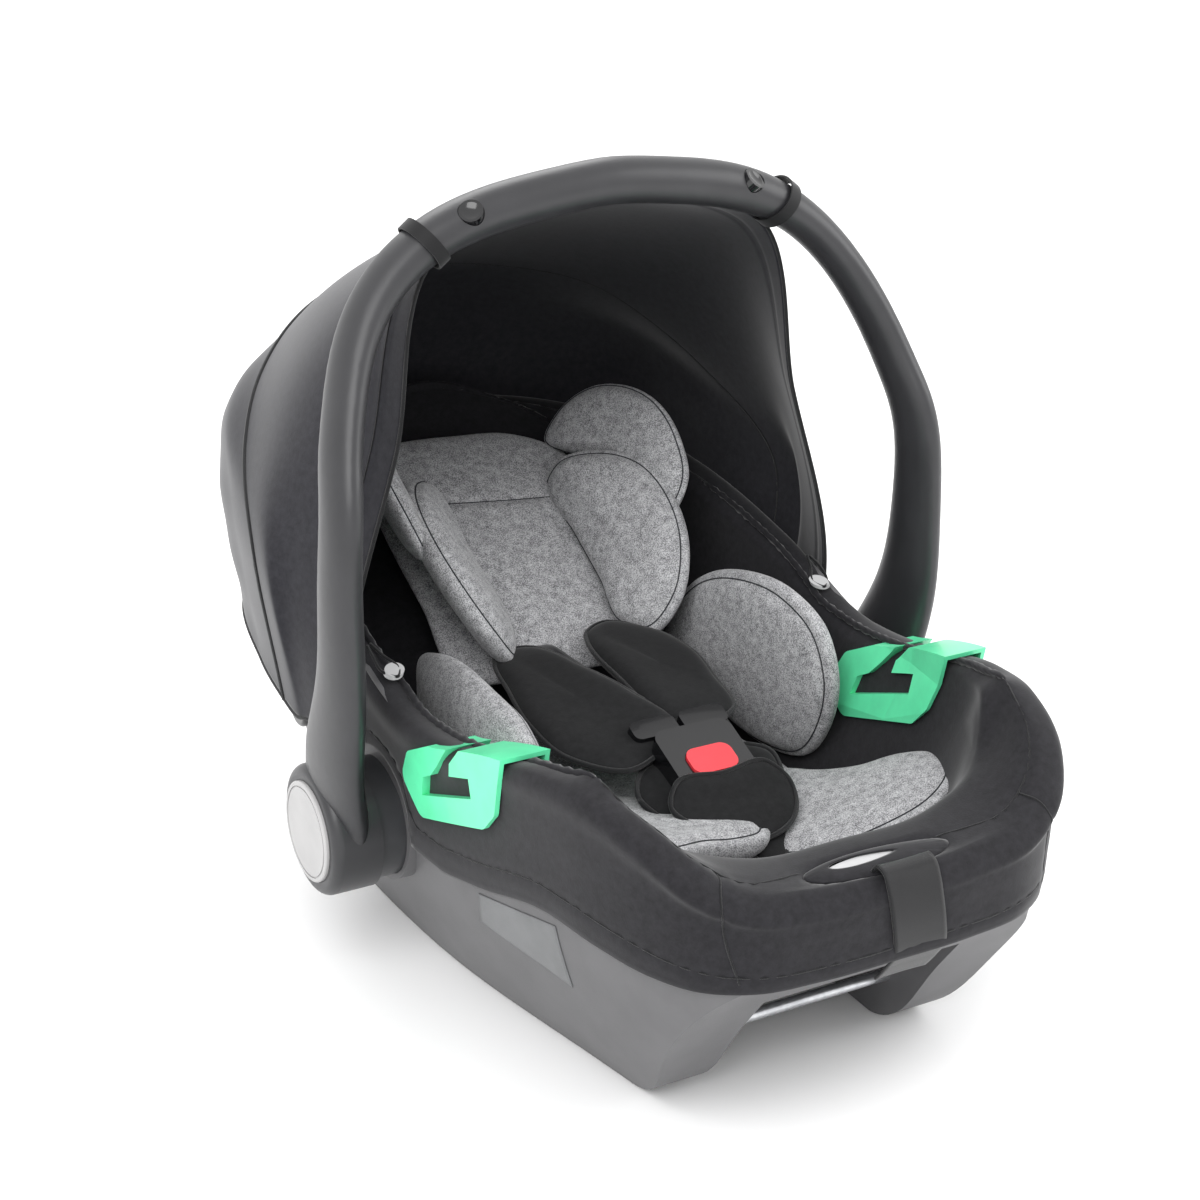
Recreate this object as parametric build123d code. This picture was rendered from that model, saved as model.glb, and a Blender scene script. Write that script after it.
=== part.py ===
"""Infant car seat: rocker shell, carry handle on two toothed hubs, soft canopy,
padded inserts and a three-point harness, each piece a solid of its own.

Millimetres. X runs across the seat, -Y is the foot end, +Y the head end, +Z is up.
The runners stand on Z = 0 and the handle turns about the X line through Y = 0, Z = HUB_Z.
"""
from build123d import *
import math
import os

# ---------------------------------------------------------------- driving dimensions
HUB_Z = 111.0            # height of the handle's axis above the floor
WALL = 3.5               # moulded shell wall
SKIN = 4.0               # fabric cover outside the shell, over its foam-backed edge
LINER = 12.0             # inner space to the liner's outer face
GAP = 0.6                # clearance between separate soft and hard pieces
SIDES = (("left", -1), ("right", 1))

# Shell seen from above, half outline from foot end to head end: (x, y) at three heights.
PLAN_RIM = [(0, -341), (58, -340), (102, -335), (130, -321), (148, -296), (160, -258), (169, -210),
            (177, -135), (181, -40), (181, 60), (172, 170), (146, 250), (80, 312), (0, 332)]
PLAN_MID = [(0, -341), (54, -340), (94, -334), (120, -318), (137, -291), (150, -254), (159, -207),
            (170, -132), (177, -40), (176, 60), (166, 165), (138, 243), (76, 302), (0, 320)]
PLAN_FOOT = [(0, -338), (34, -336), (60, -329), (77, -312), (87, -284), (94, -248), (101, -204),
             (114, -130), (129, -40), (137, 70), (134, 160), (114, 235), (64, 290), (0, 302)]
RIM_Z, MID_Z, TOP_Z = 230.0, 120.0, 350.0

# Shell seen from the side: (y, z).
RIM_LINE = [(-358, 146), (-343, 166), (-328, 183), (-303, 208), (-268, 223), (-225, 225),
            (-180, 219), (-130, 205), (-85, 193), (-60, 194), (0, 211), (100, 237),
            (200, 260), (285, 279), (352, 288)]
FRONT_DIP = [(-158, 262), (-137, 214), (-104, 186), (-54, 175), (0, 173), (54, 175), (104, 186),
             (137, 214), (158, 262)]    # across the foot end: (x, z), cut from DIP_Y forward
DIP_Y = -240.0
ROCKER_REAR = [(95, 0), (150, 6), (210, 30), (262, 74), (300, 132), (322, 200), (352, 288)]
ROCKER_FRONT = [(-358, 146), (-327, 117), (-303, 88), (-278, 54), (-252, 18), (-232, 4), (-205, 0)]
TOE_Y, HEEL_Y = -205.0, 95.0

# Space inside the cover, half outline at three heights, and the seat and back line.
ROOM_LOW = [(0, -225), (50, -222), (82, -196), (98, -150), (106, -95), (109, -30),
            (108, 40), (104, 100), (90, 155), (60, 205), (0, 222)]
ROOM_MID = [(0, -258), (60, -256), (100, -234), (124, -185), (134, -120), (139, -40),
            (139, 40), (134, 110), (118, 175), (80, 235), (0, 255)]
ROOM_RIM = [(0, -284), (68, -283), (112, -268), (142, -222), (156, -140), (160, -40),
            (159, 60), (150, 140), (124, 220), (80, 280), (0, 308)]
ROOM_TOP = [(0, -300), (72, -299), (118, -282), (150, -232), (163, -144), (166, -40),
            (164, 60), (153, 140), (126, 222), (82, 284), (0, 312)]
SEAT_LINE = [(-330, 176), (-255, 116), (-180, 98), (-20, 82), (25, 88), (60, 106), (380, 358)]

# Open space between the runners, under the seat and back: (y, z) of its roof.
TUNNEL_ROOF = [(-420, 104), (-320, 100), (-200, 66), (-100, 60), (30, 60), (62, 78), (250, 222), (420, 232)]
TUNNEL_FOOT, TUNNEL_HEAD = 70.0, 84.0    # half widths at Y = -400 and Y = +400

# Fabric cover: lower edge on the outside, (y, z).
COVER_EDGE = [(-420, 104), (-316, 104), (-285, 122), (-222, 133), (-118, 113), (-60, 104),
              (60, 124), (200, 190), (420, 224)]

# Handle: (x, y, z) of its centre line from hub to middle, then depth and thickness.
HANDLE_LINE = [(214, -2, 122, 82, 31), (218, -18, 160, 74, 27), (221, -35, 204, 63, 25),
               (221, -45, 263, 51, 24), (220, -46, 311, 46, 23.5), (215, -40, 355, 44, 23),
               (205, -23, 394, 41, 23), (189, -6, 434, 39, 24), (165, 6, 468, 37, 26),
               (127, 10, 496, 35, 29), (68, 8, 514, 33, 31), (0, 6, 521.5, 32, 31)]
DRUM_R, DRUM_IN, DRUM_OUT = 45.0, 197.0, 231.5
CAP_R, CAP_OUT, CAP_THICK = 34.6, 234.0, 8.0
BASE_R, BASE_IN, BASE_OUT = 41.0, 163.0, 196.2
AXLE_R, RUN_FIT = 6.0, 0.05
GEAR_TEETH, GEAR_TIP, GEAR_ROOT = 18, 26.5, 23.5
GEAR_IN, GEAR_OUT, GEAR_PLAY = 187.3, 196.3, 0.4
HUB_TRAVEL = 5.5

BAR_R = 4.0              # steel docking bars between the runners: (y, z)
BARS = {"front_docking_bar": (-236, 37), "rear_docking_bar": (118, 48)}

# Harness adjuster in the low middle of the rim.
PUSH_Y, PUSH_HALF, PUSH_DEEP = -318.0, 36.0, 8.0         # oval push button
PUSH_TOP, PUSH_TALL = 178.6, 6.5
PULL_X = 13.0                                            # middle of the pull strap
PULL_LINE = [(-319, 97), (-332.5, 111), (-346.8, 131), (-346.8, 160), (-345.5, 170), (-341, 181),
             (-331.5, 183), (-331, 166)]                 # (y, z) of its inner face


# ---------------------------------------------------------------- helpers
def shifted(points, distance):
    """Move each point of an open line to its right-hand side by a distance."""
    result = []
    for i, (u, v) in enumerate(points):
        u0, v0 = points[max(i - 1, 0)]
        u1, v1 = points[min(i + 1, len(points) - 1)]
        length = math.hypot(u1 - u0, v1 - v0)
        result.append((u + distance * (v1 - v0) / length, v - distance * (u1 - u0) / length))
    return result


def ring_points(half, outward):
    """Closed outline, mirrored from its +X half and moved outward."""
    loop = half + [(-x, y) for x, y in reversed(half[1:-1])]
    wrapped = [loop[-1]] + loop + [loop[0]]
    return shifted(wrapped, outward)[1:-1]


def ring_face(half, z, outward):
    """Smooth closed outline at height z."""
    return Pos(0, 0, z) * make_face(Spline(*ring_points(half, outward), periodic=True))


def panel_face(half, z, outward):
    """Closed outline of straight runs at height z."""
    return Pos(0, 0, z) * make_face(Polyline(*ring_points(half, outward), close=True))


def side_prism(edges, half_width=260.0):
    """Prism across X of a closed outline drawn in Y and Z."""
    return extrude(Plane.YZ * make_face(edges), amount=half_width, both=True)


def below(points, depth=-80.0):
    """Everything under a line given from -Y to +Y."""
    (y0, z0), (y1, z1) = points[0], points[-1]
    return side_prism(Polyline(*points, (y1, depth), (y0, depth), close=True))


def above(points, height=420.0):
    """Everything over a line given from -Y to +Y."""
    return below(points, height)


def bar_x(radius, x0, x1, y=0.0, z=0.0):
    """Cylinder along X."""
    return Pos((x0 + x1) / 2, y, z) * Rot(0, 90, 0) * Cylinder(radius, abs(x1 - x0))


def hub_x(radius, x0, x1):
    """Cylinder on the handle's axis."""
    return bar_x(radius, x0, x1, 0, HUB_Z)


def both_sides(shape):
    """The shape and its mirror image across the seat."""
    return shape + mirror(shape, Plane.YZ)


def save(name, shape):
    """Write one node."""
    solids = shape.solids()
    export_step(solids[0] if len(solids) == 1 else Compound(children=list(solids)), f"parts/{name}.step")


def save_pair(name, shape):
    """Write a +X piece as name_right and its mirror image as name_left."""
    save(f"{name}_right", shape)
    save(f"{name}_left", mirror(shape, Plane.YZ))


# ---------------------------------------------------------------- shell family
def front_dip(outward):
    """Cutter for the low middle of the rim at the foot end, raised by a distance."""
    line = shifted(FRONT_DIP, -outward)
    face = make_face([Spline(*line), Line(line[-1], line[0])])
    place = Plane(origin=(0, DIP_Y, 0), x_dir=(1, 0, 0), z_dir=(0, -1, 0))
    return extrude(place * face, amount=160)


def hull(outward, raised=0.0):
    """Outer body of the shell, grown outward by a distance, its rim raised by another."""
    levels = [(PLAN_FOOT, -12), (PLAN_MID, MID_Z), (PLAN_RIM, RIM_Z), (PLAN_RIM, TOP_Z)]
    body = loft([ring_face(plan, z, outward) for plan, z in levels])
    rim = [(y, z + raised) for y, z in shifted(RIM_LINE, -outward)]
    rear = [(y, z) for y, z in shifted(ROCKER_REAR, outward)]
    front = [(y, z) for y, z in shifted(ROCKER_FRONT, outward)]
    rear[0] = (HEEL_Y, -outward)
    front[-1] = (TOE_Y, -outward)
    front[0], rear[-1] = RIM_LINE[0], RIM_LINE[-1]
    rim[0] = (front[0][0], front[0][1] + raised)
    rim[-1] = (rear[-1][0], rear[-1][1] + raised)
    edges = [Spline(*rim), Spline(*front), Line(front[-1], rear[0]), Spline(*rear)]
    if raised:
        edges += [Line(front[0], rim[0]), Line(rear[-1], rim[-1])]
    profile = side_prism(edges)
    return (body & profile) if raised else (body & profile) - front_dip(outward)


def room(outward):
    """Space inside the cover, grown outward by a distance."""
    levels = [(ROOM_LOW, 60), (ROOM_MID, 130), (ROOM_RIM, 205), (ROOM_TOP, TOP_Z + 40)]
    body = loft([panel_face(plan, z, outward) for plan, z in levels], ruled=True)
    return body & above(shifted(SEAT_LINE, outward))


def tunnel(outward):
    """Open space between the two runners."""
    foot, head = TUNNEL_FOOT + outward, TUNNEL_HEAD + outward
    plan = Polyline((-foot, -400), (foot, -400), (head, 400), (-head, 400), close=True)
    plan = Pos(0, 0, -60) * extrude(make_face(plan), amount=400)
    return plan & below(shifted(TUNNEL_ROOF, -outward))


def oblong_slot(width, height, depth, place):
    """Round-ended slot cutter, long side across the seat, cut along the place's normal."""
    return extrude(place * SlotOverall(width, height), amount=depth / 2, both=True)


BACK_ANGLE = math.degrees(math.atan2(63, 80))            # recline of the back line
BACK = Plane(origin=(0, 60, 106), x_dir=(1, 0, 0),
             z_dir=(0, -math.sin(math.radians(BACK_ANGLE)), math.cos(math.radians(BACK_ANGLE))))
HARNESS_ROWS = (57.0, 104.0)                             # strap slots, up the back
STRAP_X, STRAP_W, STRAP_T = 38.0, 38.0, 1.6


def harness_slots():
    """Two rows of shoulder strap slots, one crotch slot and one adjuster slot."""
    cuts = []
    for up in HARNESS_ROWS:
        for _, side in SIDES:
            cuts.append(oblong_slot(50, 12, 120, BACK * Pos(side * STRAP_X, up, 0)))
    cuts.append(oblong_slot(50, 12, 90, Plane((0, -206, 90))))
    return Compound(children=cuts)


def adjuster_cut():
    """Opening for the adjuster's button and pull strap, through the rim at the foot end."""
    oval = Pos(0, PUSH_Y, 150) * extrude(Ellipse(PUSH_HALF + 0.8, PUSH_DEEP + 0.8), amount=50)
    return oval + Pos(PULL_X, -330.5, 175) * Box(STRAP_W + 5, 9, 50)


def ribbon(line, middle, width=STRAP_W, thick=STRAP_T):
    """Strap of one width that follows a (y, z) line, thickened to the line's left."""
    outer = shifted(line, -thick)
    flat = make_face(Polyline(*line, *reversed(outer), close=True))
    return Pos(middle - width / 2, 0, 0) * extrude(Plane.YZ * flat, amount=width)


# The rim is cut away where the belt guides sit: (y, z), and how far in it reaches.
NOTCH = [(-76, 156), (-158, 182), (-172, 250), (-135, 250), (-93, 204), (-76, 186)]


def notch(scale=1.0):
    """Cutter for the belt guide's seat in the +X rim, scaled about its middle."""
    mid_y = sum(y for y, _ in NOTCH) / len(NOTCH)
    mid_z = sum(z for _, z in NOTCH) / len(NOTCH)
    outline = [(mid_y + scale * (y - mid_y), mid_z + scale * (z - mid_z)) for y, z in NOTCH]
    return Pos(140, 0, 0) * extrude(Plane.YZ * make_face(Polyline(*outline, close=True)), amount=60)


def make_shell(outer):
    """Moulded shell: one wall thick, two hollow runners, collars for the hubs."""
    skin = (outer - tunnel(0)) - (hull(-WALL, 40) - tunnel(WALL))
    collar = hub_x(BASE_R + 4.2, BASE_IN, 179)
    skin = skin + both_sides(collar)
    skin = skin - both_sides(hub_x(BASE_R + 0.25, 120, 200)) - both_sides(notch())
    for y, z in BARS.values():
        skin = skin - bar_x(BAR_R + RUN_FIT, -74 - y / 30 - 9, 74 + y / 30 + 9, y, z)
    return skin - adjuster_cut() - Pos(0, 0, -25) * Box(600, 900, 50)


def make_liner():
    """Foam liner between shell and cover."""
    block = (room(LINER) & below([(y, z - SKIN) for y, z in RIM_LINE])) - room(SKIN + GAP)
    return block - front_dip(-SKIN) - both_sides(notch()) - harness_slots()


def make_cover_skirt(sleeve):
    """Outer panels of the fabric cover: over the rim and down to the hem."""
    cloth = (sleeve & above(COVER_EDGE)) - hull(GAP)
    cloth = cloth - room(SKIN + GAP) - adjuster_cut()
    return cloth - both_sides(notch()) - both_sides(hub_x(BASE_R + 6.5, 120, 200))


def make_cover_lining(free_room):
    """Inner panels of the fabric cover, over the sides, seat and back."""
    cloth = (room(SKIN) & below([(y, z + SKIN) for y, z in RIM_LINE])) - free_room
    return cloth - front_dip(SKIN) - both_sides(notch()) - harness_slots()


# ---------------------------------------------------------------- belt guides
GUIDE_PLATE = [(-97, 203), (-66, 187), (-56, 166), (-79, 145), (-160, 171), (-174, 186), (-186, 236)]
GUIDE_GROOVE = [(-87, 177), (-84, 163), (-148, 187), (-146, 200), (-122, 192), (-123, 201),
                (-158, 240), (-148, 246), (-107, 193), (-98, 183)]


def make_belt_guide():
    """Green saddle over the rim with a hooked groove for the vehicle's lap belt."""
    plate = make_face(Polyline(*GUIDE_PLATE, close=True))
    plate = fillet(plate.vertices().sort_by(Axis.Y)[0:5], 9)
    block = Pos(140, 0, 0) * extrude(Plane.YZ * plate, amount=60)
    near = Pos(170, -120, 190) * Box(90, 180, 150)
    block = (block & hull(SKIN + 3.4)) - (room(-3.4) & near)
    rim = (hull(SKIN + 0.3) & near) - room(-0.3)
    groove = Pos(130, 0, 0) * extrude(Plane.YZ * make_face(Polyline(*GUIDE_GROOVE, close=True)), amount=80)
    return block - (rim - notch(0.97)) - groove


# ---------------------------------------------------------------- handle and hubs
def gear_face(tip, root, teeth):
    """Outline of a coarse spline with flat-topped teeth, in Y and Z about the hub axis."""
    points = []
    for k in range(teeth):
        for share, radius in ((-0.30, root), (-0.14, tip), (0.14, tip), (0.30, root)):
            turn = 2 * math.pi * (k + share) / teeth
            points.append((radius * math.cos(turn), HUB_Z + radius * math.sin(turn)))
    return Plane.YZ * make_face(Polyline(*points, close=True))


def gear_cut(x0, x1):
    """Cutter that leaves an internal spline round the lock gear."""
    wide = gear_face(GEAR_TIP + GEAR_PLAY, GEAR_ROOT + GEAR_PLAY, GEAR_TEETH)
    return Pos(x0, 0, 0) * extrude(wide, amount=x1 - x0)


def prongs(radius, x0, x1):
    """Three pins of the hub button, around the axle."""
    turns = (90, 210, 330)
    pins = [bar_x(radius, x0, x1, 16 * math.cos(math.radians(a)), HUB_Z + 16 * math.sin(math.radians(a)))
            for a in turns]
    return pins[0] + pins[1] + pins[2]


def make_stud(clear, proud):
    """Button on the rim that the hood's elastic loop hooks over."""
    place = Plane(origin=(172, -5, 205), x_dir=(0, 1, 0), z_dir=(-0.34, 0, 0.94))
    head = extrude(place * Circle(6.5), amount=30)
    return (head & proud) - clear


def make_knob(outer):
    """Round knob on the side of the shell that holds the hood's lower corner."""
    knob = bar_x(14.5, 160, 186, 130, 140)
    knob = fillet(knob.edges().sort_by(Axis.X)[-1], 3)
    return knob - outer


def make_handle():
    """Carry handle: one lofted bow with a drum at each end."""
    line = [(x, y, z) for x, y, z, _, _ in HANDLE_LINE]
    sizes = [(depth, thick) for _, _, _, depth, thick in HANDLE_LINE]
    line = [(-x, y, z) for x, y, z in line] + line[-2::-1]
    sizes = sizes + sizes[-2::-1]
    sections = []
    for i, (point, (depth, thick)) in enumerate(zip(line, sizes)):
        along = Vector(*line[min(i + 1, len(line) - 1)]) - Vector(*line[max(i - 1, 0)])
        across = along.cross(Vector(0, 1, 0)).normalized()
        deep = across.cross(along).normalized()
        sections.append(Plane(point, x_dir=deep, z_dir=along) * Ellipse(depth / 2, thick / 2))
    bow = loft(sections)
    drum = fillet(hub_x(DRUM_R, DRUM_IN, DRUM_OUT).edges().sort_by(Axis.X)[-1], 7)
    body = bow + drum + mirror(drum, Plane.YZ)
    inside = hub_x(CAP_R + 0.4, CAP_OUT - CAP_THICK - HUB_TRAVEL - 0.8, 240)
    inside += gear_cut(DRUM_IN - 8, DRUM_IN + 8)
    inside += hub_x(AXLE_R + RUN_FIT, 180, 230) + hub_x(10, 214.5, 230) + prongs(3.4, 190, 230)
    inside += hub_x(DRUM_R + 20, 150, DRUM_IN)
    return body - both_sides(inside)


def make_hub_base():
    """Fixed boss on the shell: bearing for the axle, spline for the lock gear."""
    boss = hub_x(BASE_R, BASE_IN, BASE_OUT)
    boss = boss - gear_cut(GEAR_IN - HUB_TRAVEL - 0.5, BASE_OUT + 5)
    return boss - hub_x(AXLE_R, 100, 240) - hub_x(13, 172, 185)


def make_lock_gear():
    """Splined gear that locks the handle to the base."""
    gear = Pos(GEAR_IN, 0, 0) * extrude(gear_face(GEAR_TIP, GEAR_ROOT, GEAR_TEETH), amount=GEAR_OUT - GEAR_IN)
    return gear - hub_x(AXLE_R + 0.6, 100, 240)


def make_hub_button():
    """Round cap with a grooved face and three pins that push the gear."""
    disc = hub_x(CAP_R, CAP_OUT - CAP_THICK, CAP_OUT)
    disc = fillet(disc.edges().sort_by(Axis.X)[-1], 1.2)
    groove = hub_x(CAP_R - 3.0, CAP_OUT - 0.8, CAP_OUT + 1) - hub_x(CAP_R - 4.2, CAP_OUT - 2, CAP_OUT + 1)
    return disc - groove + prongs(3.0, GEAR_OUT + 0.3, CAP_OUT - CAP_THICK + 1)


def make_axle():
    """Steel pivot bolt with a round head."""
    return hub_x(AXLE_R, 168, 219.0) + hub_x(9.4, 215.0, 219.0)


# Round thumb buttons in the handle's upper corners release the seat from a frame.
THUMB_PLACE = Plane(origin=(104, -3, 513), x_dir=(0.85, 0, -0.52), z_dir=(0.40, -0.62, 0.67))
THUMB_R, THUMB_TRAVEL = 8.0, 4.0


def thumb_pocket():
    """Pocket in the handle for one thumb button."""
    return extrude(THUMB_PLACE * Circle(THUMB_R + 0.35), amount=9, both=True)


def make_thumb_button():
    """Dished thumb button."""
    body = extrude(THUMB_PLACE * Circle(THUMB_R), amount=3) + extrude(THUMB_PLACE * Circle(THUMB_R), amount=-4.6)
    dish = THUMB_PLACE * Pos(0, 0, 19.5) * Sphere(17.6)
    return body - dish


# ---------------------------------------------------------------- canopy
# Arches of the canopy from handle to head end: y, side points (x, z) from hem to top, crown height.
ARCHES = [(24, [(192, 158), (189, 236), (156, 345), (110, 484)], 508),
          (75, [(199, 156), (204, 252), (181, 350), (126, 459)], 493),
          (130, [(200, 155), (213, 264), (187, 337), (128, 437)], 475),
          (195, [(189, 163), (201, 279), (186, 330), (136, 398)], 450),
          (250, [(176, 175), (183, 282), (160, 346), (112, 392)], 427),
          (300, [(146, 192), (166, 282), (140, 328), (82, 376)], 405),
          (348.4, [(98, 210), (106, 262), (88, 300), (48, 325)], 335)]
HOOD = 3.0               # thickness of the canopy fabric


def arch_face(y, side, crown, inset):
    """One closed section of the canopy, inset by a distance and longer below when inset."""
    (hem_x, hem_z), *upper = side
    drop = 8 if inset else 0
    right = [(hem_x - inset, hem_z - drop)] + [(x - inset, z - inset / 2) for x, z in upper]
    left = [(-x, z) for x, z in reversed(right)]
    curve = Spline(*right, (0, crown - inset), *left)
    face = make_face([curve, Line(left[-1], right[0])])
    return Plane(origin=(0, y, 0), x_dir=(1, 0, 0), z_dir=(0, -1, 0)) * face


def make_canopy():
    """Fabric hood, open to the front and below."""
    outer = loft([arch_face(y, side, crown, 0) for y, side, crown in ARCHES])
    reach = [y for y, _, _ in ARCHES]
    reach[0] -= 10
    reach[-1] -= HOOD + 1
    inner = loft([arch_face(y, side, crown, HOOD) for y, (_, side, crown) in zip(reach, ARCHES)])
    return outer - inner


def make_ties():
    """Elastic loops that hold the canopy to the handle's upper corners."""
    place = Plane(origin=(131, 10, 494), x_dir=(0, 1, 0), z_dir=(0.78, 0, -0.62))
    ring = Ellipse(20.4, 17.8) - Ellipse(19.2, 16.6)
    return extrude(place * ring, amount=4.5, both=True)


# ---------------------------------------------------------------- padded inserts
def pad(place, outline, thickness, rounding=0.0):
    """Flat pad of a closed smooth outline, standing on a plane."""
    return extrude(place * make_face(Spline(*outline, periodic=True)), amount=thickness)


BACK_WEDGE = [(47, 106), (44, 150), (58, 168), (236, 271), (254, 271), (262, 265), (62, 110)]


def make_back_insert():
    """Padded wedge on the reclined back, thick at the hips, with two strap slots."""
    panel = Pos(-84, 0, 0) * extrude(Plane.YZ * make_face(Polyline(*BACK_WEDGE, close=True)), amount=168)
    cuts = [oblong_slot(46, 12, 200, BACK * Pos(side * STRAP_X, HARNESS_ROWS[0], 0)) for _, side in SIDES]
    return panel - cuts[0] - cuts[1]


def make_side_wing():
    """Pad that stands beside the head and shoulders."""
    place = Plane(origin=(100, 60, 106), x_dir=(0, 0.786, 0.618), z_dir=(0.96, 0.17, -0.22))
    outline = [(30, 24), (60, 70), (110, 100), (165, 96), (200, 62), (206, 24), (120, 22)]
    return pad(place, outline, 24)


def make_head_wing():
    """Upper pad behind the side wing, at the top of the back."""
    place = Plane(origin=(96, 60, 106), x_dir=(0, 0.786, 0.618), z_dir=(0.96, 0.17, -0.22))
    outline = [(212, 24), (212, 62), (226, 92), (250, 96), (268, 70), (270, 30), (240, 20)]
    return pad(place, outline, 22)


def make_hip_bolster():
    """Pad that stands beside the hips, leaning on the side wall."""
    place = Plane(origin=(100, 0, 120), x_dir=(0, 1, 0), z_dir=(0.97, 0, -0.24))
    outline = [(-92, 0), (-86, 34), (-50, 78), (0, 108), (34, 104), (52, 66), (44, 18), (-20, -6)]
    return pad(place, outline, 26)


def make_seat_pad():
    """Padded seat with two front flaps beside the crotch strap."""
    outline = [(-88, -150), (-104, -215), (-60, -238), (-14, -222), (-9, -185), (9, -185), (14, -222),
               (60, -238), (104, -215), (88, -150), (84, -60), (80, 20), (0, 34), (-80, 20), (-84, -60)]
    slab = Pos(0, 0, 60) * extrude(make_face(Spline(*outline, periodic=True)), amount=140)
    slab = slab & (room(-1.0) - room(-19.0)) & Pos(0, -110, 110) * Box(230, 300, 130)
    wide = [(1.06 * x, 1.06 * y) for x, y in CROTCH_SHIELD]
    return slab - pad(CROTCH * Pos(0, 10, -7.5), wide, 60)


# ---------------------------------------------------------------- harness
CROTCH = Plane(origin=(0, -143, 130), x_dir=(1, 0, 0), z_dir=(0, -0.407, 0.914))
CROTCH_SHIELD = [(-50, 34), (-46, 2), (-24, -34), (0, -44), (24, -34), (46, 2), (50, 34), (30, 52), (-30, 52)]


def make_buckle_body():
    """Buckle housing with a pocket for the button and two tongue slots."""
    body = extrude(CROTCH * Pos(0, 32, 8) * RectangleRounded(58, 50, 9), amount=20)
    body = body - extrude(CROTCH * Pos(0, 24, 22.4) * RectangleRounded(34.8, 22.8, 8), amount=8)
    for side in (-1, 1):
        body = body - extrude(CROTCH * Pos(side * 14, 48, 13.2) * RectangleRounded(19, 24, 1.5), amount=5.2)
    return body


def make_buckle_button():
    """Red release button."""
    return extrude(CROTCH * Pos(0, 24, 26) * RectangleRounded(34, 22, 7.6), amount=4)


def make_tongue():
    """Metal-cored tongue with a moulded grip, seated in the buckle."""
    blade = extrude(CROTCH * Pos(14, 50, 14.2) * Rectangle(17, 20), amount=3.2)
    grip = extrude(CROTCH * Pos(19, 67, 10.8) * RectangleRounded(34, 16, 5), amount=10)
    return blade + grip


def make_crotch_strap():
    """Webbing from the seat slot up to the buckle."""
    return extrude(CROTCH * Pos(0, -11, 3.6) * Rectangle(STRAP_W, 34), amount=STRAP_T)


def make_crotch_pad():
    """Shield-shaped pad under the buckle."""
    return pad(CROTCH * Pos(0, 10, -6), CROTCH_SHIELD, 9)


PAD_PLACE = Plane(origin=(36, -2, 176), x_dir=(0.995, -0.09, 0), z_dir=(0, -0.05, 0.999))
PAD_OUTLINE = [(-26, -66), (-31, 0), (-24, 60), (0, 70), (22, 60), (31, 0), (26, -66), (0, -71)]
SHOULDER_LINE = [(-80, 180.5), (66, 184.5), (76, 181), (106, 143), (113, 133)]   # (y, z)


def make_shoulder_pad():
    """Padded sleeve on the shoulder strap, with a flat passage for the strap."""
    sleeve = pad(PAD_PLACE, PAD_OUTLINE, 11)
    passage = Pos(STRAP_X, -2, 183.4) * Rot(1.6, 0, 0) * Box(STRAP_W + 4, 200, 4.4)
    return sleeve - passage


def make_shoulder_strap():
    """Webbing from the tongue through the pad, then down into the back."""
    return ribbon(SHOULDER_LINE, STRAP_X)


def make_pull_strap():
    """Webbing that tightens the harness, hanging over the rim at the foot end."""
    return ribbon(PULL_LINE, PULL_X)


def make_push_button():
    """Oval button that frees the pull strap."""
    oval = Pos(0, PUSH_Y, PUSH_TOP - PUSH_TALL) * extrude(Ellipse(PUSH_HALF, PUSH_DEEP), amount=PUSH_TALL)
    return fillet(oval.edges().sort_by(Axis.Z)[-1], 0.8)


def main():
    """Build and write every node."""
    os.makedirs("parts", exist_ok=True)
    outer, free_room, sleeve = hull(0), room(0), hull(SKIN)

    save("shell", make_shell(outer))
    save("foam_liner", make_liner())
    save("cover_skirt", make_cover_skirt(sleeve))
    save("cover_lining", make_cover_lining(free_room))
    save_pair("belt_guide", make_belt_guide())
    save_pair("cover_stud", make_stud(hull(SKIN + 0.4), hull(SKIN + 3.0)))
    save_pair("hood_knob", make_knob(hull(0.4)))

    save("handle", make_handle() - both_sides(thumb_pocket()))
    save_pair("hub_base", make_hub_base())
    save_pair("lock_gear", make_lock_gear())
    save_pair("hub_button", make_hub_button())
    save_pair("pivot_axle", make_axle())
    save_pair("thumb_button", make_thumb_button())

    save("canopy", make_canopy())
    save_pair("canopy_tie", make_ties())

    inside = room(-1.2)
    save("back_insert", make_back_insert() & inside)
    save_pair("side_wing", make_side_wing() & inside)
    save_pair("head_wing", make_head_wing() & inside)
    save_pair("hip_bolster", make_hip_bolster() & inside)
    save("seat_pad", make_seat_pad())
    save("buckle_body", make_buckle_body())
    save("buckle_button", make_buckle_button())
    save_pair("tongue", make_tongue())
    save("crotch_strap", make_crotch_strap())
    save("crotch_pad", make_crotch_pad())
    save_pair("shoulder_pad", make_shoulder_pad())
    save_pair("shoulder_strap", make_shoulder_strap())
    save("pull_strap", make_pull_strap())
    save("adjuster_button", make_push_button())

    for name, (y, z) in BARS.items():
        reach = 74 + y / 30 + 8
        save(name, bar_x(BAR_R, -reach, reach, y, z))


if __name__ == "__main__":
    main()
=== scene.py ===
# %% [markdown]
# # An infant car seat
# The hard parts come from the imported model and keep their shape. What is sewn, stuffed or
# woven is made here: the cover, the hood, the padded inserts and the harness.

# %% Frame
import math
import bpy
import bmesh
import numpy as np
from mathutils import Matrix, Vector


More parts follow.
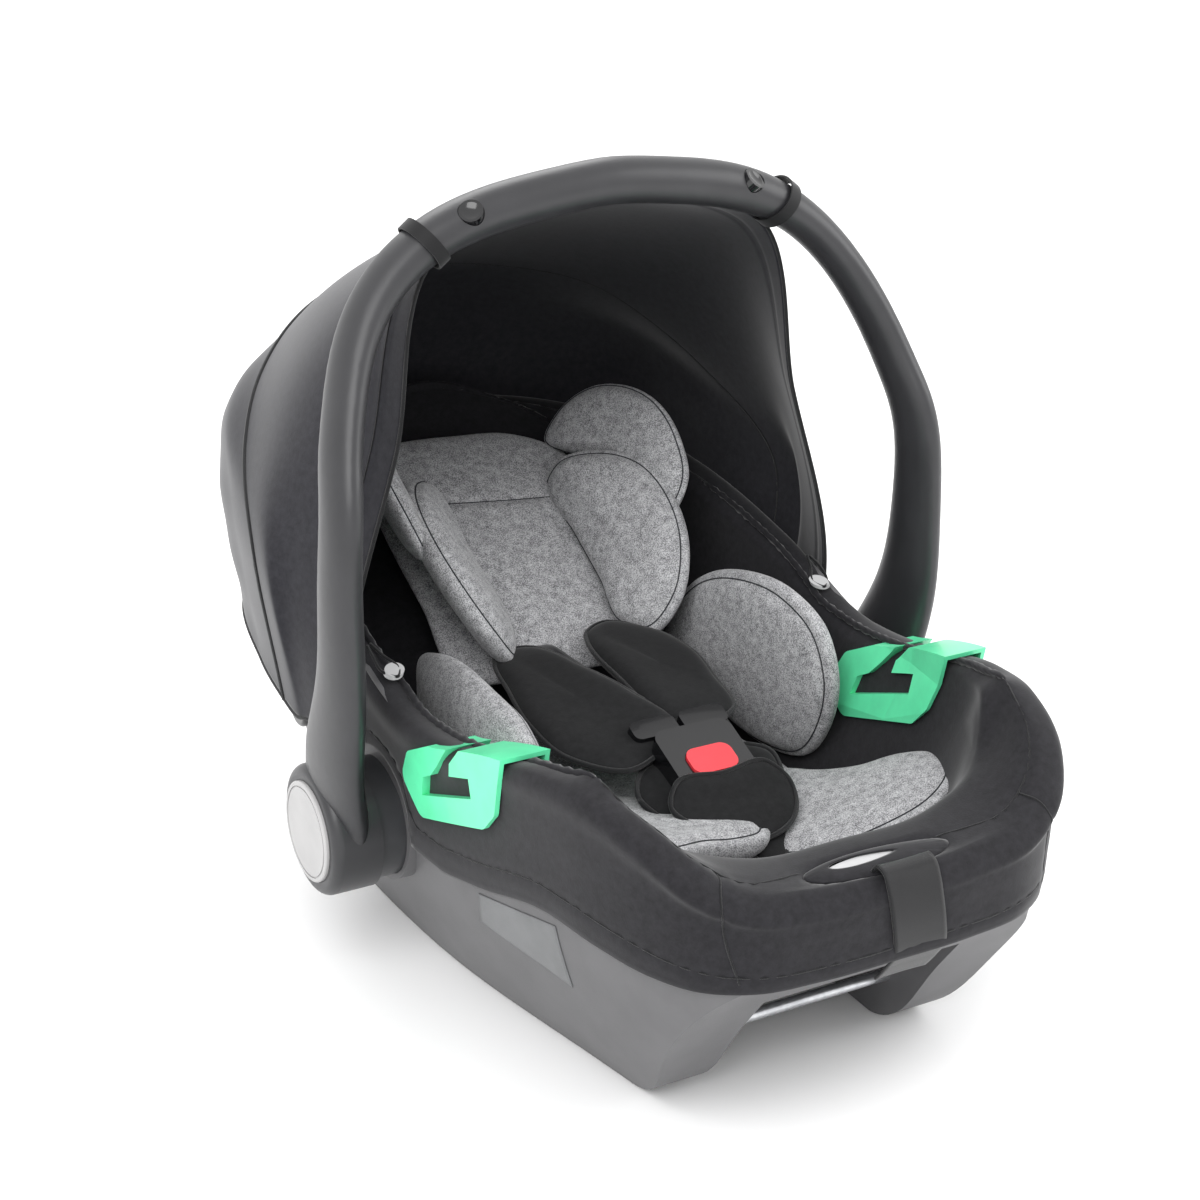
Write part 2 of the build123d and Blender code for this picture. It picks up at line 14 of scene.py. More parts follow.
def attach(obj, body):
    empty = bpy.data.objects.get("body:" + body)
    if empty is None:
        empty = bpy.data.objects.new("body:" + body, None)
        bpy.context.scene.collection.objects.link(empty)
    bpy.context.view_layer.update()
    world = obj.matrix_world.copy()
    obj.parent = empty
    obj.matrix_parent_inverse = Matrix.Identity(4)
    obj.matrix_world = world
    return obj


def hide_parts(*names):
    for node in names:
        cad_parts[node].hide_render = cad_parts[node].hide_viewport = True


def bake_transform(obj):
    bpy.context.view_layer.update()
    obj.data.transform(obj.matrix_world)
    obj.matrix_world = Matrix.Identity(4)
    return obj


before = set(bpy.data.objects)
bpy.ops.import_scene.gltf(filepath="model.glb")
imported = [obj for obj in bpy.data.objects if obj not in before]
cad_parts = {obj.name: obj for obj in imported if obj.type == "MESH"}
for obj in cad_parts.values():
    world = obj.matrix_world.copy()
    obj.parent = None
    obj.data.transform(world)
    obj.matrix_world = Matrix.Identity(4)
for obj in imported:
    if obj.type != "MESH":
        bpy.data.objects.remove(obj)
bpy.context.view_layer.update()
MM = 0.001

# %% [markdown]
# ## Smooth curves and surfaces
# Every sewn piece starts as a few measured points. A Hermite curve goes through them, with the
# slope at each point taken from its two neighbours. The same rule joins whole rows of points,
# which turns a handful of outlines into a smooth surface.

# %% Curve and surface helpers
TUBE_UP, TUBE_SIDES, MERGE_GAP = [0.13, 0.21, 1.0], 6, 0.00002


def through(points, count, closed=False):
    """Hermite curve through points (or rows of points). With chord lengths as the parameter, the
    slope at a point is the mean of the two chord slopes, each weighted by the other's length."""
    p = np.asarray(points, float)
    if closed:
        p = np.concatenate([p[-1:], p, p[:2]])
    else:
        p = np.concatenate([2 * p[:1] - p[1:2], p, 2 * p[-1:] - p[-2:-1]])
    flat = p.reshape(len(p), -1)
    width = flat.shape[1] / p.shape[-1]
    step = np.maximum(np.sqrt((np.diff(flat, axis=0) ** 2).sum(1) / width), 1e-9)
    knot = np.concatenate([[0], np.cumsum(step)])
    slope = np.diff(flat, axis=0) / step[:, None]
    tangent = ((slope[:-1] * step[1:, None] + slope[1:] * step[:-1, None])
               / (step[:-1] + step[1:])[:, None])
    knot, flat = knot[1:-1], flat[1:-1]
    s = np.linspace(knot[0], knot[-1], count, endpoint=not closed)
    i = np.clip(np.searchsorted(knot, s, side="right") - 1, 0, len(knot) - 2)
    h = (knot[i + 1] - knot[i])[:, None]
    x = (s - knot[i])[:, None] / h
    value = ((2 * x ** 3 - 3 * x ** 2 + 1) * flat[i] + (x ** 3 - 2 * x ** 2 + x) * h * tangent[i]
             + (3 * x ** 2 - 2 * x ** 3) * flat[i + 1] + (x ** 3 - x ** 2) * h * tangent[i + 1])
    return value.reshape((count,) + p.shape[1:])


def mirrored(half):
    """Closed loop from a half outline that starts and ends on the middle plane."""
    half = np.asarray(half, float)
    other = half[-2:0:-1] * np.array([-1] + [1] * (half.shape[1] - 1))
    return np.concatenate([half, other])


def surface(name, grid, wrap_u=False, wrap_v=False):
    """Mesh from a grid of points in millimetres: rows run along v and columns along u. Each cell
    is one quad. The UV map holds real lengths, in metres, along both directions."""
    grid = np.asarray(grid, float)
    rows, cols = grid.shape[:2]
    r = np.arange(rows if wrap_v else rows - 1)
    c = np.arange(cols if wrap_u else cols - 1)
    a = (r[:, None] * cols + c[None, :]).ravel()
    b = (r[:, None] * cols + (c[None, :] + 1) % cols).ravel()
    d = (((r[:, None] + 1) % rows) * cols + c[None, :]).ravel()
    e = (((r[:, None] + 1) % rows) * cols + (c[None, :] + 1) % cols).ravel()
    mesh = bpy.data.meshes.new(name)
    mesh.from_pydata((grid.reshape(-1, 3) * MM).tolist(), [], np.stack([a, b, e, d], 1).tolist())
    mesh.polygons.foreach_set("use_smooth", np.ones(len(mesh.polygons), bool))
    run_u = np.concatenate([[0], np.cumsum(np.linalg.norm(np.diff(grid.mean(0), axis=0), axis=1))])
    run_v = np.concatenate([[0], np.cumsum(np.linalg.norm(np.diff(grid, axis=0), axis=2).mean(1))])
    uv = mesh.uv_layers.new(name="UVMap")
    loops = np.zeros(len(mesh.loops), int)
    mesh.loops.foreach_get("vertex_index", loops)
    spots = np.stack([run_u[loops % cols] * MM, run_v[loops // cols] * MM], 1)
    uv.data.foreach_set("uv", spots.ravel())
    piece = bpy.data.objects.new(name, mesh)
    bpy.context.scene.collection.objects.link(piece)
    return piece


def merged(piece):
    """Close poles and seams, then turn every face outwards."""
    work = bmesh.new()
    work.from_mesh(piece.data)
    bmesh.ops.remove_doubles(work, verts=work.verts, dist=MERGE_GAP)
    bmesh.ops.recalc_face_normals(work, faces=work.faces)
    work.to_mesh(piece.data)
    work.free()
    return piece


def solidify(piece, thickness, offset=-1.0):
    """Give a sheet its thickness, in millimetres."""
    wall = piece.modifiers.new("thickness", "SOLIDIFY")
    wall.thickness = thickness * MM
    wall.offset = offset
    return piece


def tube(name, path, radius, closed=False):
    """Round tube along a path: at each point a circle stands square to the path, and its sides
    are measured from one fixed direction, so that it never twists. Open ends are capped."""
    path = np.asarray(path, float)
    if closed:
        ahead, behind = np.roll(path, -1, 0), np.roll(path, 1, 0)
    else:
        ahead = np.concatenate([path[1:], 2 * path[-1:] - path[-2:-1]])
        behind = np.concatenate([2 * path[:1] - path[1:2], path[:-1]])
    along = ahead - behind
    along /= np.linalg.norm(along, axis=1)[:, None]
    side = np.cross(along, TUBE_UP)
    side /= np.linalg.norm(side, axis=1)[:, None]
    up = np.cross(side, along)
    turn = np.linspace(0, 2 * math.pi, TUBE_SIDES, endpoint=False)
    ring = (np.cos(turn)[None, :, None] * side[:, None, :]
            + np.sin(turn)[None, :, None] * up[:, None, :])
    grid = path[:, None, :] + radius * ring
    if not closed:
        caps = [np.repeat(end[:, None, :], TUBE_SIDES, 1) for end in (path[:1], path[-1:])]
        grid = np.concatenate([caps[0], grid, caps[1]])
    return merged(surface(name, grid, wrap_u=True, wrap_v=closed))


# %% [markdown]
# ## Finishes
# Cloth and plastic differ mostly in fine relief. Each finish is a shader with its plain values on
# its own sockets, a noise or weave that shifts its colour a little, and a bump of real size.

# %% Finish helpers


def finish(name, colour, roughness, metallic=0.0, sheen=0.0, coat=0.0, specular=0.5):
    """New material with a Principled shader; colour is linear RGB."""
    made = bpy.data.materials.new(name)
    made.use_nodes = True
    shader = made.node_tree.nodes["Principled BSDF"]
    shader.inputs["Base Color"].default_value = (*colour, 1)
    shader.inputs["Roughness"].default_value = roughness
    shader.inputs["Metallic"].default_value = metallic
    shader.inputs["Sheen Weight"].default_value = sheen
    shader.inputs["Sheen Roughness"].default_value = 0.4
    shader.inputs["Coat Weight"].default_value = coat
    shader.inputs["Specular IOR Level"].default_value = specular
    made.diffuse_color = (*colour, 1)
    return made


def node(made, kind, **values):
    """Add a node and set its inputs by name."""
    added = made.node_tree.nodes.new(kind)
    for key, value in values.items():
        if key in added.inputs:
            added.inputs[key].default_value = value
        else:
            setattr(added, key, value)
    return added


def link(made, source, out, target, into):
    """Join two nodes."""
    made.node_tree.links.new(source.outputs[out], target.inputs[into])


def noise(made, scale, detail=3.0, rough=0.6):
    """Noise in object space; scale is in cycles per metre."""
    place = node(made, "ShaderNodeTexCoord")
    grain = node(made, "ShaderNodeTexNoise", Scale=scale, Detail=detail, Roughness=rough)
    link(made, place, "Object", grain, "Vector")
    return grain


def tint(made, source, out, low, high, start=0.35, stop=0.65):
    """Drive the base colour from a pattern through a ramp between two colours."""
    ramp = node(made, "ShaderNodeValToRGB")
    ramp.color_ramp.elements[0].position = start
    ramp.color_ramp.elements[0].color = (*low, 1)
    ramp.color_ramp.elements[1].position = stop
    ramp.color_ramp.elements[1].color = (*high, 1)
    link(made, source, out, ramp, "Fac")
    link(made, ramp, "Color", made.node_tree.nodes["Principled BSDF"], "Base Color")


def relief(made, source, out, distance, strength):
    """Bump of a real depth in metres."""
    bump = node(made, "ShaderNodeBump", Strength=strength, Distance=distance)
    link(made, source, out, bump, "Height")
    link(made, bump, "Normal", made.node_tree.nodes["Principled BSDF"], "Normal")


def moulded(name, colour, roughness, shift=0.12, grain_scale=2600, depth=0.00006, coat=0.0):
    """Moulded plastic: fine leather-like grain, and a slow change of shade."""
    made = finish(name, colour, roughness, coat=coat)
    low = tuple(c * (1 - shift) for c in colour)
    high = tuple(c * (1 + shift) for c in colour)
    tint(made, noise(made, 26, 4), "Fac", low, high)
    relief(made, noise(made, grain_scale, 2), "Fac", depth, 0.5)
    return made


def knitted(name, low, high, roughness, sheen):
    """Stretch knit: loops about a millimetre wide as Voronoi cells, over slow changes of shade."""
    made = finish(name, high, roughness, sheen=sheen, specular=0.25)
    tint(made, noise(made, 180, 6, 0.7), "Fac", low, high, 0.3, 0.7)
    place = node(made, "ShaderNodeTexCoord")
    loops = node(made, "ShaderNodeTexVoronoi", Scale=900)
    link(made, place, "Object", loops, "Vector")
    relief(made, loops, "Distance", 0.00012, 0.35)
    return made


def melange(name, low, high):
    """Heathered jersey: light and dark yarns mixed at about a millimetre, in uneven patches."""
    made = finish(name, high, 0.95, sheen=0.25, specular=0.2)
    place = node(made, "ShaderNodeTexCoord")
    fine = node(made, "ShaderNodeTexNoise", Scale=1150.0, Detail=4.0, Roughness=0.75)
    wide = node(made, "ShaderNodeTexNoise", Scale=170.0, Detail=2.0, Roughness=0.5)
    link(made, place, "Object", fine, "Vector")
    link(made, place, "Object", wide, "Vector")
    both = node(made, "ShaderNodeMath", operation="MULTIPLY_ADD")
    both.inputs[1].default_value = 0.22
    link(made, wide, "Fac", both, 0)
    link(made, fine, "Fac", both, 2)
    tint(made, both, "Value", low, high, 0.50, 0.74)
    relief(made, fine, "Fac", 0.00035, 0.6)
    return made


def woven(name, low, high, roughness, pitch=520):
    """Webbing: diagonal ribs along the strap, read from its UV map."""
    made = finish(name, high, roughness, sheen=0.15, specular=0.3)
    place = node(made, "ShaderNodeTexCoord")
    turned = node(made, "ShaderNodeMapping")
    turned.inputs["Rotation"].default_value = (0, 0, math.radians(35))
    ribs = node(made, "ShaderNodeTexWave", Scale=pitch, Distortion=0.6, Detail=1.0)
    link(made, place, "UV", turned, "Vector")
    link(made, turned, "Vector", ribs, "Vector")
    tint(made, ribs, "Fac", low, high, 0.2, 0.8)
    relief(made, ribs, "Fac", 0.00025, 0.7)
    return made


# %% The finishes of the seat
CLOTH = knitted("cover_knit", (0.0095, 0.0092, 0.0108), (0.0195, 0.0188, 0.0222), 0.88, 0.25)
HOOD = knitted("hood_knit", (0.0135, 0.0132, 0.0165), (0.026, 0.0255, 0.031), 0.86, 0.3)
BINDING = woven("black_binding", (0.0035, 0.0035, 0.0042), (0.0105, 0.0105, 0.012), 0.62, 900)
GREY = melange("grey_melange", (0.12, 0.12, 0.126), (0.6, 0.6, 0.615))
# Painted seam shadow: near-black tubes in the grey inserts' seams stand for the shade in their
# grooves.
SEAM_SHADE = finish("seam_shadow", (0.03, 0.031, 0.035), 0.95)
relief(SEAM_SHADE, noise(SEAM_SHADE, 900), "Fac", 0.0002, 0.6)
WEBBING = woven("harness_webbing", (0.003, 0.003, 0.0036), (0.0105, 0.0105, 0.012), 0.34)
PADDING = knitted("pad_cloth", (0.006, 0.006, 0.0066), (0.0125, 0.0125, 0.0135), 0.86, 0.15)
SHELL = moulded("shell_plastic", (0.105, 0.104, 0.108), 0.5, 0.07, 2200, 0.00008)
CARRY = moulded("handle_plastic", (0.024, 0.024, 0.0265), 0.38, 0.1, 2600, 0.00004)
BOSS = moulded("boss_plastic", (0.03, 0.031, 0.034), 0.42)
CAP = moulded("cap_plastic", (0.4, 0.395, 0.395), 0.38, 0.05)
GREEN = moulded("guide_plastic", (0.12, 0.78, 0.4), 0.3, 0.08, 1500, 0.00002, coat=0.15)
WHITE = moulded("white_plastic", (0.5, 0.5, 0.505), 0.3, 0.05)
NOTICE = moulded("blank_notice", (0.135, 0.138, 0.142), 0.42)
GLOSS = moulded("gloss_black", (0.006, 0.006, 0.007), 0.16, 0.1, 1200, 0.00001, coat=0.3)
RED = moulded("red_button", (0.78, 0.035, 0.05), 0.22, 0.08, 900, 0.00002, coat=0.4)
FOAM = finish("bead_foam", (0.75, 0.75, 0.73), 0.9)
beads = node(FOAM, "ShaderNodeTexVoronoi", Scale=260.0)
link(FOAM, node(FOAM, "ShaderNodeTexCoord"), "Object", beads, "Vector")
relief(FOAM, beads, "Distance", 0.0006, 0.6)
tint(FOAM, beads, "Distance", (0.66, 0.66, 0.64), (0.8, 0.8, 0.78), 0.1, 0.6)
STEEL = finish("zinc_steel", (0.62, 0.63, 0.65), 0.3, metallic=1.0)
relief(STEEL, noise(STEEL, 700), "Fac", 0.00003, 0.5)
tint(STEEL, noise(STEEL, 90, 3), "Fac", (0.5, 0.51, 0.53), (0.7, 0.71, 0.73))
CAD_FINISH = {"shell": SHELL, "foam_liner": FOAM, "belt_guide": GREEN, "handle": CARRY,
              "hub_base": BOSS, "lock_gear": GLOSS, "hub_button": CAP, "pivot_axle": STEEL,
              "thumb_button": GLOSS, "front_docking_bar": STEEL, "rear_docking_bar": STEEL,
              "buckle_body": GLOSS, "buckle_button": RED, "tongue": GLOSS, "canopy_tie": BINDING,
              "hood_knob": GLOSS, "cover_stud": WHITE, "pull_strap": WEBBING,
              "adjuster_button": WHITE, "crotch_strap": WEBBING, "shoulder_strap": WEBBING,
              "crotch_pad": PADDING, "shoulder_pad": PADDING, "seat_pad": GREY}


def base_name(name):
    """Node name without its side."""
    stem, _, end = name.rpartition("_")
    return stem if end in ("left", "right") else name


for name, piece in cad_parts.items():
    made = CAD_FINISH.get(base_name(name), CLOTH)
    piece.data.materials.clear()
    piece.data.materials.append(made)
print(len(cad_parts), "CAD nodes dressed")


def dress(piece, made, body="seat", replaces=()):
    """Give a sewn piece its finish, its body and the CAD nodes it stands for."""
    piece.data.materials.append(made)
    if body:
        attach(piece, body)
    known = [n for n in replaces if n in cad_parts]
    if known:
        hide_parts(*known)
    return piece


# %% [markdown]
# ## Cushions and seams
# A cushion is a closed outline with a domed front and back. Its cross-section is the curve
# height = sqrt(1 - share^4), plump in the middle and round at the edge. A seam pulls the cloth in
# along a line by depth * exp(-(distance / width)^2), and carries a tube of its own: black thread on
# the harness pads, and on the grey inserts a near-black tube of painted seam shadow.

# %% Cushion and seam helpers
SEAM_DEPTH, SEAM_WIDTH, STITCH_SINK, STITCH_RADIUS = 2.2, 3.2, 1.9, 0.55
LUMP_SIZE, CUSHION_FILL = 34.0, 0.6


def grid_normals(grid):
    """Unit normals of a grid of points, from its two directions."""
    along_v = np.gradient(grid, axis=0)
    along_u = np.gradient(grid, axis=1)
    normal = np.cross(along_u, along_v)
    return normal / np.maximum(np.linalg.norm(normal, axis=2, keepdims=True), 1e-9)


def nearest(points, line):
    """Distance from each point to the nearest point of a densely sampled line."""
    best = np.full(len(points), 1e9)
    for start in range(0, len(line), 40):
        gap = points[:, None, :] - line[None, start:start + 40, :]
        best = np.minimum(best, np.sqrt((gap ** 2).sum(2)).min(1))
    return best


def pulled_in(grid, seams, depth, width, normal=None):
    """Press a grid inwards along seams, each a polyline through points on the surface."""
    flat = grid.reshape(-1, 3).copy()
    push = (normal if normal is not None else grid_normals(grid)).reshape(-1, 3)
    for seam in seams:
        away = nearest(flat, seam)
        flat -= push * (depth * np.exp(-(away / width) ** 2))[:, None]
    return flat.reshape(grid.shape)


def thread(name, line, made, body="seat", radius=0.5, closed=False):
    """A tube laid along a line: stitching, binding or piping; with the near-black seam finish it is
    painted seam shadow.
    """
    return dress(tube(name, line, radius, closed=closed), made, body)


def lumps(grid, size, height, seed):
    """Slow hollows and swells of real size: three crossed sine waves with fixed phases."""
    x, y, z = (grid[..., i] / size for i in range(3))
    return height * (np.sin(2.1 * x + 1.3 * y + seed) + np.sin(1.7 * y - 1.1 * z + 2.3 * seed)
                     + np.sin(1.9 * z + 1.2 * x + 3.7 * seed)) / 3


def cushion(name, outline, facing, front, behind, made, replaces=(), seams=(), rim_seam=None,
            cols=110, rows=64, plump=0.5, puff=1.2, seed=1.0):
    """Padded piece from a closed outline. Facing points to its front; front and behind are the two
    dome heights. A rim seam runs round it at that share of its reach. Other seams are open lines
    drawn near it, and are laid on its front face."""
    loop = through(outline, cols, closed=True)
    middle = loop.mean(0)
    turn = np.cross(loop - middle, np.roll(loop, -1, 0) - middle).sum(0)
    normal = turn / np.linalg.norm(turn)
    if np.dot(normal, facing) < 0:
        normal = -normal
    t = np.linspace(0, math.pi, 600)
    share = np.sin(t) ** plump
    height = np.where(t < math.pi / 2, front, behind) * np.cos(t)
    reach = np.linalg.norm(loop - middle, axis=1).mean()
    run = np.concatenate([[0], np.cumsum(np.hypot(np.diff(share) * reach, np.diff(height)))])
    even = np.linspace(0, run[-1], rows)
    share, height = np.interp(even, run, share), np.interp(even, run, height)
    grid = middle + (loop - middle)[None] * share[:, None, None] + normal * height[:, None, None]
    swell = lumps(grid, LUMP_SIZE, puff, seed) * np.clip(1 - share ** 6, 0, 1)[:, None]
    grid = grid + normal * swell[..., None]
    top = grid[height > 0]
    lines = []
    if rim_seam:
        row = np.argmin(np.abs(share - rim_seam) + 10 * (height <= 0))
        lines.append((grid[row], True))
    spots = top.reshape(-1, 3)
    plain = spots - (spots @ normal)[:, None] * normal
    for seam in seams:
        line = through(seam, 90)
        level = line - (line @ normal)[:, None] * normal
        gap = ((level[:, None, :] - plain[None, :, :]) ** 2).sum(2)
        near = np.argsort(gap, axis=1)[:, :4]
        weight = 1 / (np.take_along_axis(gap, near, 1) + 0.5)
        tall = (spots @ normal)[near]
        tall = (tall * weight).sum(1) / weight.sum(1)
        lines.append((level + tall[:, None] * normal, False))
    up = np.broadcast_to(normal, grid.shape)
    grid = pulled_in(grid, [line for line, _ in lines], SEAM_DEPTH, SEAM_WIDTH, up)
    dress(merged(surface(name, grid, wrap_u=True)), made, replaces=replaces)
    # On the grey inserts the seam tubes are painted seam shadow; on the other pads they are black
    # thread.
    for i, (line, closed) in enumerate(lines):
        thread(f"{name}_stitch_{i}", line - normal * STITCH_SINK,
               SEAM_SHADE if made == GREY else BINDING, radius=STITCH_RADIUS, closed=closed)


def flip(points):
    """Mirror points across the seat's middle plane."""
    return [(-x, y, z) for x, y, z in points]


# %% [markdown]
# ## The cover
# One stretch cover is pulled over the whole rim. Its shape is a set of closed rings, from the hem
# outside, up over the foam-backed crest and down the inner wall to the seat. Rings from a few
# measured stations make it follow both the moulded shell and the space inside.

# %% Cover rings
COVER_COLS, COVER_ROWS = 360, 170
CLOTH_WALL, COVER_FILL = 1.6, 0.5
RIM = np.array([
    (0, -341), (58, -340), (102, -335), (130, -321), (148, -296), (160, -258), (169, -210),
    (177, -135), (181, -40), (181, 60), (172, 170), (146, 250), (80, 312), (0, 332)], float)
WAIST = np.array([
    (0, -341), (54, -340), (94, -334), (120, -318), (137, -291), (150, -254), (159, -207),
    (170, -132), (177, -40), (176, 60), (166, 165), (138, 243), (76, 302), (0, 320)], float)
ROOM_Z = np.array([60.0, 130.0, 205.0, 390.0])
ROOM = np.array([
    [(0, -225), (50, -222), (82, -196), (98, -150), (106, -95), (109, -30), (108, 40),
     (104, 100), (90, 155), (60, 205), (0, 222)],
    [(0, -258), (60, -256), (100, -234), (124, -185), (134, -120), (139, -40), (139, 40),
     (134, 110), (118, 175), (80, 235), (0, 255)],
    [(0, -284), (68, -283), (112, -268), (142, -222), (156, -140), (160, -40), (159, 60),
     (150, 140), (124, 220), (80, 280), (0, 308)],
    [(0, -300), (72, -299), (118, -282), (150, -232), (163, -144), (166, -40), (164, 60),
     (153, 140), (126, 222), (82, 284), (0, 312)]], float)
ROOM_STATIONS = ROOM.shape[1]
RIM_LINE = np.array([
    (-358, 146), (-343, 166), (-328, 183), (-303, 208), (-268, 223), (-225, 225), (-180, 219),
    (-130, 205), (-85, 193), (-60, 194), (0, 211), (100, 237), (200, 260), (285, 279), (352, 288)])
FRONT_DIP = np.array([(0, 173), (54, 175), (104, 187), (134, 214), (150, 250), (158, 275)])
HEM_LINE = np.array([(-420, 124), (-316, 124), (-285, 126), (-222, 133), (-118, 113), (-60, 104),
                     (60, 124), (200, 190), (420, 224)])
SEAT_LINE = np.array([(-330, 176), (-255, 116), (-180, 98), (-20, 82), (25, 88), (60, 106),
                      (380, 358)])
SEAT_GAP, FOOT_Z, FRONT_Y = 0.4, 82.0, -240


def line_at(line, y):
    """Height of a side line at y, through a smooth curve of its points."""
    fine = through(line, 200)
    return np.interp(y, fine[:, 0], fine[:, 1])


def seat_at(y):
    """Height of the seat and back at y: straight runs with their corners rounded over 16 mm."""
    return sum(np.interp(y + d, SEAT_LINE[:, 0], SEAT_LINE[:, 1]) for d in (-8, -3, 3, 8)) / 4


def outward(ring, distance):
    """Move a half ring along its plan normals."""
    loop = mirrored(ring)
    along = np.roll(loop, -1, 0) - np.roll(loop, 1, 0)
    normal = np.stack([along[:, 1], -along[:, 0]], 1) / np.linalg.norm(along, axis=1)[:, None]
    return (loop + distance * normal)[:len(ring)]


def crest(ring):
    """Height of the rim over each station of a half ring: the side line, or the lower front dip."""
    side = line_at(RIM_LINE, ring[:, 1])
    dip = np.interp(np.abs(ring[:, 0]), *through(FRONT_DIP, 60).T)
    return np.where(ring[:, 1] < FRONT_Y, np.minimum(side, dip), side)


def room_ring(z):
    """Half outline of the space inside the cover, at one height per station."""
    z = np.broadcast_to(np.asarray(z, float), (ROOM_STATIONS,))
    level = np.clip(np.searchsorted(ROOM_Z, z) - 1, 0, len(ROOM_Z) - 2)
    mix = ((z - ROOM_Z[level]) / (ROOM_Z[level + 1] - ROOM_Z[level]))[:, None]
    station = np.arange(ROOM_STATIONS)
    return ROOM[level, station] * (1 - mix) + ROOM[level + 1, station] * mix


def inner_row(z):
    """Row of the inner wall, lifted to the seat or back where that is higher. Lifting a station
    also moves it in plan, so the two steps are repeated until they settle."""
    for _ in range(6):
        ring = outward(room_ring(z), SEAT_GAP)
        z = np.maximum(z, seat_at(ring[:, 1]) + SEAT_GAP)
    return np.column_stack([ring, z])


hem = line_at(HEM_LINE, RIM[:, 1])
rows = []
for share, grow, lift in ((0.0, 0.8, 2.0), (0.0, 3.6, 0.0), (0.06, 4.4, 0.0), (0.45, 4.4, 0.0),
                          (0.8, 4.4, 0.0)):
    z = hem + share * (crest(outward(RIM, -1)) - hem) + lift
    mix = np.clip((z - 120) / 110, 0, 1)[:, None]
    rows.append(np.column_stack([outward(WAIST * (1 - mix) + RIM * mix, grow), z]))
for grow, drop in ((3.6, -2.5), (0.6, 2.4), (-5, 4.0), (-13, 3.4)):
    ring = outward(RIM, grow)
    rows.append(np.column_stack([ring, crest(outward(RIM, min(grow, -1))) + drop]))
inner_top = crest(outward(room_ring(200.0), 5))
inner_top = crest(outward(room_ring(inner_top), 5))
for grow, drop in ((6.4, 0.6), (1.4, -3.2)):
    rows.append(np.column_stack([outward(room_ring(inner_top), grow), inner_top + drop]))
for z in (inner_top - 12, inner_top - 38, 134.0, 100.0, FOOT_Z):
    rows.append(inner_row(z))
foot = inner_row(FOOT_Z)
for share in (0.75, 0.4, 0.02):
    ring = foot[:, :2] * share
    rows.append(np.column_stack([ring, seat_at(ring[:, 1]) + SEAT_GAP]))
rings = [through(mirrored(row), COVER_COLS, closed=True) for row in rows]
cover_grid = through(rings, COVER_ROWS)
print("cover grid", cover_grid.shape)


def on_cover(spots):
    """Line on the cover through (column share, row share) pairs."""
    fine = through([(u * COVER_COLS, v * (COVER_ROWS - 1)) for u, v in spots], 160)
    u0 = np.floor(fine[:, 0]).astype(int)
    v0 = np.clip(np.floor(fine[:, 1]).astype(int), 0, COVER_ROWS - 2)
    fu, fv = (fine[:, 0] - u0)[:, None], (fine[:, 1] - v0)[:, None]
    a, b = cover_grid[v0, u0 % COVER_COLS], cover_grid[v0, (u0 + 1) % COVER_COLS]
    c, d = cover_grid[v0 + 1, u0 % COVER_COLS], cover_grid[v0 + 1, (u0 + 1) % COVER_COLS]
    return (a * (1 - fu) + b * fu) * (1 - fv) + (c * (1 - fu) + d * fu) * fv


# %% [markdown]
# ## Room for the hard parts
# The cloth is eased where something hard lies close behind it. Each easing is a bell curve,
# lift * exp(-(distance / reach)^2), at the front corners of the foam and below the rim studs. At
# each hub the hem rises in an arch, z = HUB_Z + sqrt(HUB_CLEAR^2 - y^2), clear of the lock.

# %% Easing the cover
SHOULDER, SHOULDER_LIFT, SHOULDER_REACH, ABOVE_SEAT = (139, -240), 8.0, 15.0, 195
shoulder = ((np.abs(cover_grid[..., 0]) - SHOULDER[0]) ** 2
            + (cover_grid[..., 1] - SHOULDER[1]) ** 2)
shoulder_share = np.exp(-shoulder / SHOULDER_REACH ** 2)
cover_grid[..., 2] += SHOULDER_LIFT * shoulder_share * (cover_grid[..., 2] > ABOVE_SEAT)

STUD_EASE, STUD_Y, STUD_Z = 3.5, -9, 204
near_stud = np.exp(-((cover_grid[..., 1] - STUD_Y) / 24) ** 2
                   - ((cover_grid[..., 2] - STUD_Z) / 12) ** 2)
inner_share = np.clip((178 - np.abs(cover_grid[..., 0])) / 12, 0, 1)
cover_grid[..., 0] -= STUD_EASE * np.sign(cover_grid[..., 0]) * near_stud * inner_share

HUB_Z, HUB_CLEAR, HUB_SIDE, WALL_ROWS, FOLD_ROWS = 111.0, 52.0, 150, 35, 3
for j in range(COVER_COLS):
    column = cover_grid[:WALL_ROWS, j].copy()
    start, stop = column[2, 2], column[-1, 2]
    arch = HUB_Z + math.sqrt(max(HUB_CLEAR ** 2 - column[2, 1] ** 2, 0))
    if abs(column[2, 0]) > HUB_SIDE and arch > start:
        lifted = arch + (column[:, 2] - start) * (stop - arch) / (stop - start)
        for axis in (0, 1):
            along = np.interp(lifted, column[2:, 2], column[2:, axis])
            turned_in = column[:, axis] - column[2, axis]
            fold = np.where(np.arange(WALL_ROWS) < FOLD_ROWS, turned_in, 0)
            cover_grid[:WALL_ROWS, j, axis] = along + fold
        cover_grid[:WALL_ROWS, j, 2] = lifted

# %% [markdown]
# ## Seams of the cover, and the opening at the adjuster
# A hollow below the adjuster's button leaves it room to be pressed. A sewn rim lies over the
# hollow, and the button shows through the rim's leaf-shaped opening.

